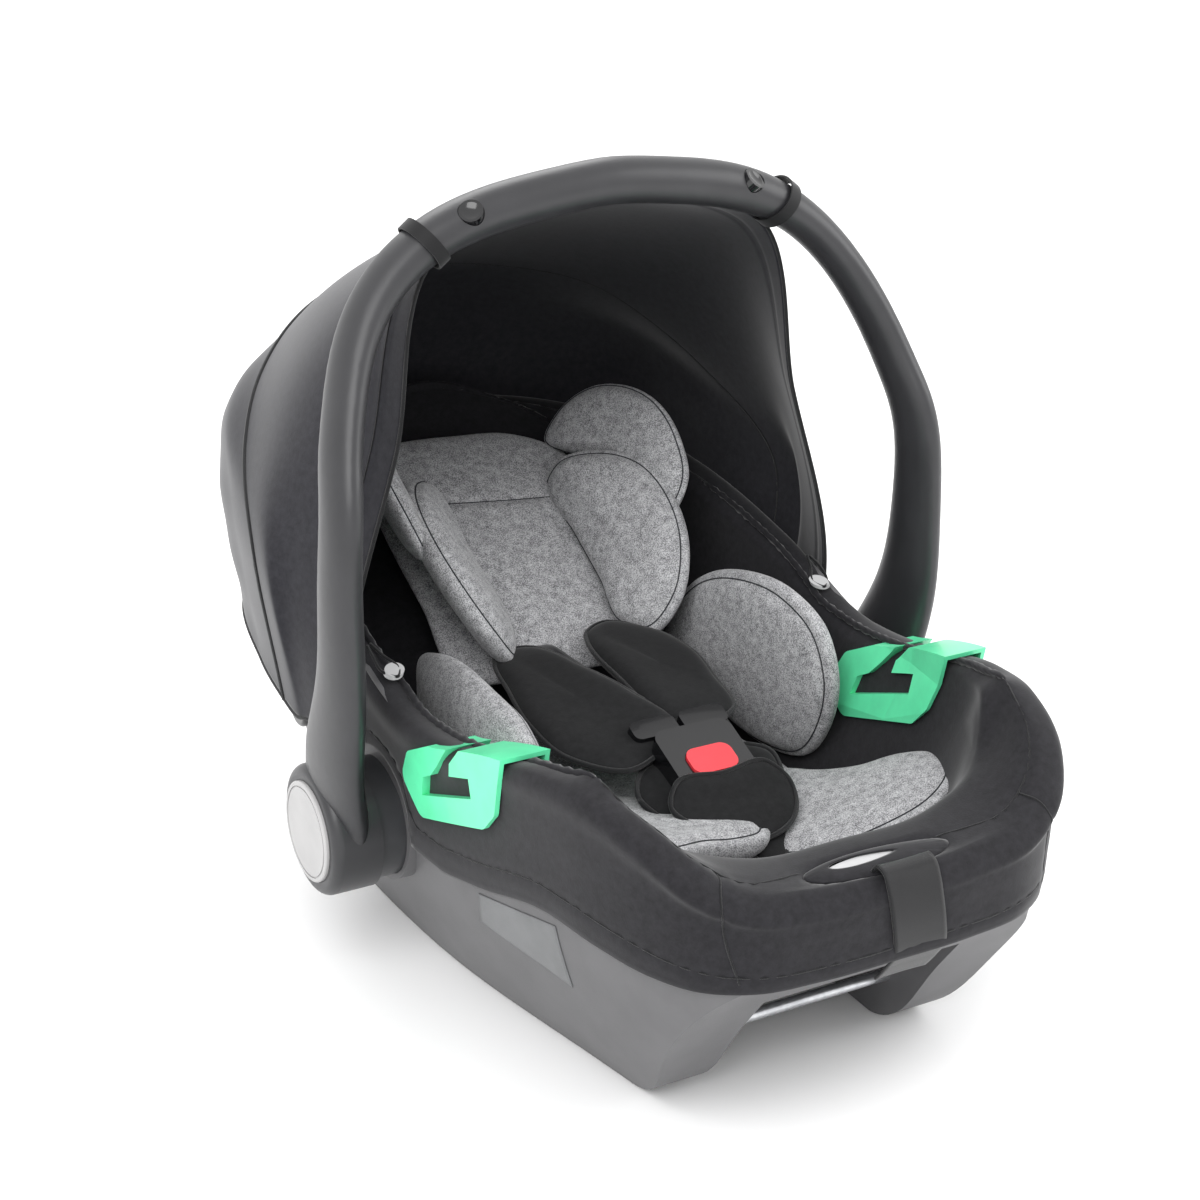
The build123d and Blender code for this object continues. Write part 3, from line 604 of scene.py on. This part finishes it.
# %% Cover, seams and adjuster opening
CREST_ROW = 0.225
COVER_SEAMS = {
    "crest": [(u, CREST_ROW + 0.012 * (min(u, 1 - u) < 0.05)) for u in np.linspace(0, 1, 40)],
    "corner_right": [(0.070, 0.03), (0.069, 0.11), (0.064, CREST_ROW)],
    "corner_left": [(0.942, 0.03), (0.936, 0.14), (0.936, CREST_ROW)],
    "hem": [(u, 0.045) for u in np.linspace(0, 1, 60)],
}
LENS_Y, BESIDE_LENS = -318.0, 165.0
WELL_HALF, WELL_DEPTH = (46, 13), 11.0
near_lens = cover_grid[(np.abs(cover_grid[..., 0]) < 70)
                       & (np.abs(cover_grid[..., 1] - LENS_Y) < 30)
                       & (cover_grid[..., 2] > BESIDE_LENS)]
cover_lines = [on_cover(spots) for spots in COVER_SEAMS.values()]
cover_grid = pulled_in(cover_grid, cover_lines, 1.3, 2.4)
well = ((cover_grid[..., 0] / WELL_HALF[0]) ** 2
        + ((cover_grid[..., 1] - LENS_Y) / WELL_HALF[1]) ** 2)
cover_grid[..., 2] -= WELL_DEPTH * np.exp(-well ** 4) * (cover_grid[..., 2] > BESIDE_LENS)
cover = dress(merged(surface("seat_cover", cover_grid, wrap_u=True)), CLOTH,
              replaces=("cover_skirt", "cover_lining"))
solidify(cover, CLOTH_WALL)
for name, spots in COVER_SEAMS.items():
    thread(f"cover_stitch_{name}", on_cover(spots), BINDING, radius=0.75)

OPENING_TOP, RIM_SINK = 180.0, 0.4
turn = np.linspace(2 * math.pi, 0, 120, endpoint=False)
lens_outer = np.stack([51 * np.cos(turn), LENS_Y + 15.5 * np.sin(turn), 0 * turn], 1)
for spot in lens_outer:
    away = np.hypot(near_lens[:, 0] - spot[0], near_lens[:, 1] - spot[1])
    spot[2] = near_lens[np.argsort(away)[:5], 2].mean() - RIM_SINK
leaf = 5.0 * np.sin(turn) * (1 - 0.3 * np.cos(turn))
lens_inner = np.stack([-10 + 23 * np.cos(turn), LENS_Y + 1.5 + leaf, OPENING_TOP + 0 * turn], 1)
share = np.linspace(0, 1, 12)[:, None, None]
lens_grid = lens_inner + (lens_outer - lens_inner) * share * (1, 1, 0)
lens_grid = lens_grid + (lens_outer - lens_inner) * share ** 2.2 * (0, 0, 1)
lens_rim = merged(surface("lens_surround", lens_grid, wrap_u=True))
solidify(dress(lens_rim, CLOTH), 0.9)

# %% [markdown]
# ## The hood
# The hood is one curved sheet sewn from two panels. Nine lines across it, from hem to hem, carry
# its shape: the front edge on the handle, the roof, the piped seam, the rear bulge and its closing
# end. Sine waves that fade out along the sheet give it slow ripples.

# %% Hood sheet
HOOD_COLS, HOOD_ROWS, BAND_ROW = 241, 150, 6
HOOD_MIDDLE = HOOD_COLS // 2
PIPED_SEAM_TOP = np.array([0, 308, 404.0])
HOOD_LINES = [
    [(190, 24, 158), (188, 18, 228), (153, 14, 358), (117, 15, 486), (60, 18, 503), (0, 20, 508)],
    [(198, 68, 156), (203, 70, 250), (181, 80, 350), (130, 92, 455), (62, 100, 485),
     (0, 104, 490)],
    [(200, 116, 154), (213, 124, 266), (191, 188, 322), (168, 222, 352), (129, 254, 384),
     (58, 300, 400), (0, 308, 404)],
    [(192, 178, 160), (200, 200, 280), (182, 250, 325), (155, 282, 345), (112, 306, 362),
     (52, 326, 374), (0, 330, 378)],
    [(172, 262, 178), (178, 280, 276), (160, 305, 308), (132, 322, 322), (92, 336, 334),
     (44, 344, 342), (0, 346, 345)],
    [(112, 326, 204), (124, 338, 250), (116, 345, 284), (94, 347, 300), (64, 348, 310),
     (30, 349, 315), (0, 349, 316)],
    [(58, 330, 208), (66, 341, 238), (62, 346, 262), (50, 348, 274), (34, 349, 281),
     (16, 349, 284), (0, 349, 285)],
    [(24, 332, 208), (30, 342, 226), (26, 346, 240), (20, 348, 249), (13, 348, 254),
     (6, 348, 256), (0, 348, 257)],
    [(3, 333, 207), (3, 337, 211), (2.4, 341, 215), (1.8, 343, 218), (1.2, 344, 220),
     (0.6, 344, 221), (0, 344, 222)],
]
hood_rows = []
for line in HOOD_LINES:
    half = np.array(line, float)
    whole = np.concatenate([half, (half[:-1] * (-1, 1, 1))[::-1]])
    hood_rows.append(through(whole, HOOD_COLS))
hood_grid = through(hood_rows, HOOD_ROWS)
across = np.linspace(-1, 1, HOOD_COLS)[None, :]
back = np.linspace(0, 1, HOOD_ROWS)[:, None]
ripple = (1.4 * np.sin(9 * back + 5 * across ** 2) * np.exp(-((back - 0.25) / 0.18) ** 2)
          + 1.6 * np.sin(26 * across ** 2 + 7 * back) * np.clip(back - 0.45, 0, 1) * 2)
hood_grid[..., 0] += ripple * np.sign(across) * np.clip(np.abs(across) * 2 - 0.7, 0, 1)
hood_grid[..., 2] += lumps(hood_grid, 60.0, 1.6, 2.0) * np.sin(math.pi * back) * (1 - across ** 6)
from_seam = np.linalg.norm(hood_grid[:, HOOD_MIDDLE] - PIPED_SEAM_TOP, axis=1)
seam_row = int(np.argmin(from_seam))
piped_seam = hood_grid[seam_row]
hood_grid = pulled_in(hood_grid, [hood_grid[BAND_ROW]], 1.0, 2.4)
hood = dress(merged(surface("canopy_sheet", hood_grid)), HOOD, None, ("canopy",))
solidify(hood, 1.4)
hood_trim = [
    thread("canopy_piping", piped_seam, BINDING, None, 1.9),
    thread("canopy_front_stitch", hood_grid[BAND_ROW], BINDING, None, 0.6),
    thread("canopy_front_edge", hood_grid[0], BINDING, None, 1.5),
    thread("canopy_hem_right", hood_grid[:, 0], BINDING, None, 1.4),
    thread("canopy_hem_left", hood_grid[:, -1], BINDING, None, 1.4)]
for piece in [hood] + hood_trim:
    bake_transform(piece)
print("hood grid", hood_grid.shape, "seam row", seam_row)

# %% [markdown]
# ## The padded inserts
# Each insert is a cushion drawn from its own edge in space. The wings' right-hand outlines are
# mirrored for the left. The hip pads and the leg flaps have an outline for each side.

# %% Inserts
UPWARD = (0, -0.3, 0.95)
BACK_EDGE = [(-84, 66, 162), (-40, 57, 159), (10, 55, 158), (56, 60, 161), (78, 84, 176),
             (76, 150, 218), (76, 226, 266), (44, 246, 277), (0, 252, 280), (-45, 254, 281),
             (-80, 250, 279), (-90, 200, 250), (-90, 120, 202)]
BAND_SEAM = [(-86, 199, 251), (-20, 189, 246), (54, 182, 241), (72, 182, 241)]
PANEL_SEAM_LEFT = [(-56, 72, 170), (-54, 115, 202), (-44, 160, 226), (-40, 192, 249)]
PANEL_SEAM_RIGHT = [(46, 72, 172), (50, 94, 190), (54, 150, 222), (57, 183, 243)]
cushion("back_cushion", BACK_EDGE, (0, -0.5, 0.86), 10, 13, GREY, ("back_insert",),
        (BAND_SEAM, PANEL_SEAM_LEFT, PANEL_SEAM_RIGHT), cols=180, rows=90)
WING_EDGE = [(52, 196, 252), (58, 187, 270), (79, 162, 282), (95, 128, 282), (100, 84, 262),
             (92, 52, 234), (76, 36, 204), (58, 42, 180), (47, 66, 178), (50, 103, 198),
             (51, 149, 224)]
HEAD_EDGE = [(70, 234, 272), (82, 231, 295), (98, 211, 316), (111, 179, 324), (118, 146, 320),
             (118, 109, 299), (112, 88, 275), (102, 88, 253), (93, 156, 262), (80, 203, 266)]
HIP_RIGHT = [(106, 108, 145), (105, 86, 182), (105, 51, 214), (108, 2, 233), (114, -48, 234),
             (119, -84, 216), (123, -96, 182), (126, -84, 140), (127, -58, 109), (124, -15, 99),
             (118, 33, 106), (112, 81, 117)]
HIP_LEFT = [(-104, 92, 155), (-105, 88, 178), (-106, 61, 191), (-108, 17, 199), (-110, -24, 199),
            (-113, -83, 192), (-118, -118, 172), (-124, -122, 148), (-126, -95, 118),
            (-126, -61, 108), (-123, -16, 100), (-117, 30, 107), (-110, 77, 125)]
SIDES = (("right", 1), ("left", -1))
for side, sign in SIDES:
    wing, head, hip = WING_EDGE, HEAD_EDGE, HIP_RIGHT
    if side == "left":
        wing, head, hip = flip(WING_EDGE), flip(HEAD_EDGE), HIP_LEFT
    cushion(f"side_wing_pad_{side}", wing, (-0.732 * sign, -0.342, 0.589), 15, 13, GREY,
            (f"side_wing_{side}",), rim_seam=0.93, seed=2 + sign)
    cushion(f"head_wing_pad_{side}", head, (-0.8 * sign, -0.5, 0.3), 12, 10, GREY,
            (f"head_wing_{side}",), rim_seam=0.95, seed=4 + sign)
    cushion(f"hip_pad_{side}", hip, (-0.979 * sign, -0.095, -0.183), 16, 14, GREY,
            (f"hip_bolster_{side}",), rim_seam=0.92, seed=6 + sign)
SEAT_EDGE = [(-85, 44, 108), (0, 56, 110), (85, 44, 108), (104, -20, 104), (100, -90, 106),
             (66, -140, 110), (0, -156, 106), (-66, -140, 110), (-100, -90, 106), (-104, -20, 104)]
cushion("seat_cushion", SEAT_EDGE, (0, 0, 1), 14, 10, GREY, ("seat_pad",))
FLAP_RIGHT = [(12, -198, 117), (33, -223, 128), (68, -238, 143), (107, -238, 155), (134, -221, 160),
              (149, -186, 158), (140, -165, 150), (118, -146, 138), (99, -126, 130), (80, -90, 120),
              (56, -66, 114), (28, -76, 112), (13, -120, 110), (8, -160, 112)]
FLAP_LEFT = [(14, -181, 132), (4, -196, 135), (-20, -202, 139), (-46, -206, 146), (-76, -220, 155),
             (-107, -230, 163), (-130, -216, 166), (-142, -186, 162), (-134, -165, 152),
             (-116, -146, 140), (-99, -126, 132), (-80, -90, 124), (-56, -66, 118), (-28, -76, 116),
             (-6, -120, 118), (6, -160, 126)]
cushion("leg_flap_right", FLAP_RIGHT, UPWARD, 9, 10, GREY, rim_seam=0.93, plump=0.42, cols=150,
        seed=1.7)
cushion("leg_flap_left", FLAP_LEFT, UPWARD, 10, 18, GREY, rim_seam=0.93, plump=0.42, cols=150,
        seed=2.9)

# %% [markdown]
# ## The harness
# Flat pads with a bound edge lie over the buckle. The straps are woven strips with real width.

# %% Harness
STRAP_CROWN, STRAP_THICK, PULL_WIDTH, SHOULDER_WIDTH = 0.5, 1.6, 37.5, 36.0
LAP_FACING = (0, -0.407, 0.914)
SHIELD = [(-52, -127, 145), (-40, -108, 153), (-18, -101, 156), (38, -104, 155), (55, -112, 151),
          (46, -151, 136), (27, -185, 124), (4, -206, 116), (-8, -186, 122), (-38, -169, 130),
          (-47, -146, 138)]
SHIELD_SEAMS = ([(-40, -150, 146), (0, -154, 146), (44, -151, 143)],
                [(-30, -170, 136), (0, -176, 136), (34, -172, 134)])
cushion("crotch_shield", SHIELD, LAP_FACING, 7, 6, PADDING, ("crotch_pad",), SHIELD_SEAMS,
        plump=0.35, puff=0.8)
shield_loop = through(SHIELD, 120, closed=True) + np.array([0, -1.0, 2.0])
POCKET = [(-35, -145, 160), (0, -147, 161), (35, -145, 160), (45, -154, 150), (34, -180, 136),
          (4, -190, 131), (-26, -178, 138), (-44, -154, 150)]
cushion("buckle_pocket", POCKET, LAP_FACING, 4, 7, PADDING, plump=0.35, puff=0.6, seed=5.1)
pocket_loop = through(POCKET, 110, closed=True) + np.array([0, -0.6, 1.4])
thread("buckle_pocket_binding", pocket_loop, BINDING, radius=1.8, closed=True)
thread("crotch_shield_binding", shield_loop, BINDING, radius=2.0, closed=True)
PADS = {
    "left": [(-58, 64, 179), (-42, 60, 181), (-20, 5, 181), (-6, -40, 176), (1, -88, 168),
             (-18, -101, 163), (-50, -112, 159), (-80, -84, 163), (-85, -40, 169), (-77, 10, 175),
             (-67, 50, 178)],
    "right": [(12, 60, 182), (30, 69, 183), (56, 46, 181), (66, 5, 178), (60, -40, 173),
              (52, -76, 168), (22, -88, 167), (3, -84, 168), (-3, -60, 172), (-3, -20, 177),
              (4, 44, 182)]}
for side, outline in PADS.items():
    cushion(f"shoulder_pad_cover_{side}", outline, (0, -0.1, 1), 9, 7, PADDING,
            (f"shoulder_pad_{side}",), plump=0.35, puff=0.7, seed=3.3)
    pad_loop = through(outline, 130, closed=True) + np.array([0, 0, 1.5])
    thread(f"shoulder_pad_binding_{side}", pad_loop, BINDING, radius=1.9, closed=True)


def strap(name, line, width, node_name):
    """Woven strip of webbing along a line of (x, y, z) points, slightly crowned across its width:
    height = STRAP_CROWN * (1 - share^2)."""
    path = through(line, 90)
    share = np.linspace(-1, 1, 15)
    grid = path[:, None, :] + np.stack([share * width / 2, 0 * share, 0 * share], 1)[None]
    along = np.gradient(path, axis=0)
    up = np.cross([1.0, 0, 0], along)
    up /= np.linalg.norm(up, axis=1)[:, None]
    grid += up[:, None, :] * (STRAP_CROWN * (1 - share ** 2))[None, :, None]
    piece = dress(surface(name, grid), WEBBING, replaces=(node_name,))
    solidify(piece, STRAP_THICK, 0.0)


PULL_LINE = [(6, -330.6, 168), (6, -331, 180), (6, -335, 184), (6.5, -341, 182), (7.5, -345, 173),
             (9, -347.2, 160), (12, -347.2, 142), (14.5, -345, 129), (17, -333, 112),
             (18, -322, 99)]
strap("harness_pull", PULL_LINE, PULL_WIDTH, "pull_strap")
SHOULDER_LINE = [(20, -96, 166), (22, -80, 171), (28, -30, 175), (33, 30, 179), (36, 62, 179),
                 (38, 82, 168), (38, 104, 146), (38, 113, 134)]
for side, _ in SIDES:
    line = flip(SHOULDER_LINE) if side == "left" else SHOULDER_LINE
    strap(f"harness_shoulder_{side}", line, SHOULDER_WIDTH, f"shoulder_strap_{side}")

# %% [markdown]
# ## Small sewn and printed parts
# Elastic loops hold the hood's edge on the rim buttons, and a blank panel lies on the shell where
# a notice would be.

# %% Small parts
LOOP_LINE = [(176, 20, 226), (177, 8, 222), (176, -3, 216), (168, -11, 214), (164, -4, 216),
             (170, 9, 222), (174, 20, 227)]
PANEL_CORNERS = [(-172, -128, 108), (-163, -214, 124), (-150, -214, 78), (-168, -120, 82)]
PANEL_GAP, PANEL_THICK = 0.0006, 0.4
for side, _ in SIDES:
    line = flip(LOOP_LINE) if side == "left" else LOOP_LINE
    thread(f"hood_loop_{side}", through(line, 60), BINDING, radius=1.1)
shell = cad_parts["shell"]
u, v = np.meshgrid(np.linspace(0, 1, 26), np.linspace(0, 1, 18))
corners = np.array(PANEL_CORNERS, float)
spots = (((1 - u) * (1 - v))[..., None] * corners[0] + (u * (1 - v))[..., None] * corners[1]
         + (u * v)[..., None] * corners[2] + ((1 - u) * v)[..., None] * corners[3])
to_shell = shell.matrix_world.inverted()
laid = np.zeros_like(spots)
for i in range(spots.shape[0]):
    for j in range(spots.shape[1]):
        _, at, facing, _ = shell.closest_point_on_mesh(to_shell @ Vector(spots[i, j] * MM))
        laid[i, j] = np.array(shell.matrix_world @ (at + facing * PANEL_GAP)) / MM
solidify(dress(surface("blank_panel", laid), NOTICE), PANEL_THICK, 1.0)

# %% [markdown]
# ## The view
# The camera looks along its own -Z axis. Its three axes come from an azimuth and an elevation:
# back = (sin a cos e, -cos a cos e, sin e), right = (cos a, sin a, 0), up = back x right.

# %% Camera
AZIMUTH, ELEVATION = math.radians(-28.973), math.radians(21.554)
CAMERA_AT = (-0.7387, -1.3155, 0.8278)
SENSOR_WIDTH, FOCAL_LENGTH = 36.0, 70.5


def standing(back, right, at):
    """Matrix of a camera or lamp from its back and right axes and its place."""
    pose = np.eye(4)
    pose[:3, 0], pose[:3, 1], pose[:3, 2], pose[:3, 3] = right, np.cross(back, right), back, at
    return Matrix(pose.tolist())


camera_data = bpy.data.cameras.new("camera")
camera_data.sensor_width = SENSOR_WIDTH
camera_data.lens = FOCAL_LENGTH
camera = bpy.data.objects.new("camera", camera_data)
bpy.context.scene.collection.objects.link(camera)
back_axis = np.array([math.sin(AZIMUTH) * math.cos(ELEVATION),
                      -math.cos(AZIMUTH) * math.cos(ELEVATION), math.sin(ELEVATION)])
right_axis = np.array([math.cos(AZIMUTH), math.sin(AZIMUTH), 0.0])
camera.matrix_world = standing(back_axis, right_axis, CAMERA_AT)
bpy.context.scene.camera = camera

# %% [markdown]
# ## Floor and light
# A plain pale floor and large soft lights keep the black cloth readable: a wide key light from the
# front left, a fill from the front right, a rim light from behind and a bright surround.

# %% Studio
FLOOR_HALF, FLOOR_Z, SURROUND = 6000, -0.6, 1.25
LAMPS = {"key_light": ((-1.6, -1.5, 2.2), (0, 0, 0.2), 1.8, 46),
         "fill_light": ((1.9, -1.0, 1.4), (0, 0, 0.25), 1.6, 22),
         "rim_light": ((0.4, 1.8, 2.2), (0, 0, 0.3), 1.6, 26)}
floor = surface("studio_floor", [[(x, y, FLOOR_Z) for x in (-FLOOR_HALF, FLOOR_HALF)]
                                 for y in (-FLOOR_HALF, FLOOR_HALF)])
floor.data.materials.append(finish("studio_floor", (0.93, 0.93, 0.93), 0.9))
world = bpy.data.worlds.new("studio")
bpy.context.scene.world = world
world.use_nodes = True
background = world.node_tree.nodes["Background"]
background.inputs["Color"].default_value = (1, 1, 1, 1)
background.inputs["Strength"].default_value = SURROUND
for name, (spot, aim, size, power) in LAMPS.items():
    lamp = bpy.data.lights.new(name, "AREA")
    lamp.shape = "SQUARE"
    lamp.size = size
    lamp.energy = power
    lit = bpy.data.objects.new(name, lamp)
    bpy.context.scene.collection.objects.link(lit)
    lamp_back = np.array(spot) - np.array(aim)
    lamp_back = lamp_back / np.linalg.norm(lamp_back)
    lamp_right = np.cross([0, 0, 1.0], lamp_back)
    lamp_right /= np.linalg.norm(lamp_right)
    lit.matrix_world = standing(lamp_back, lamp_right, spot)
bpy.context.scene.view_settings.view_transform = "Standard"
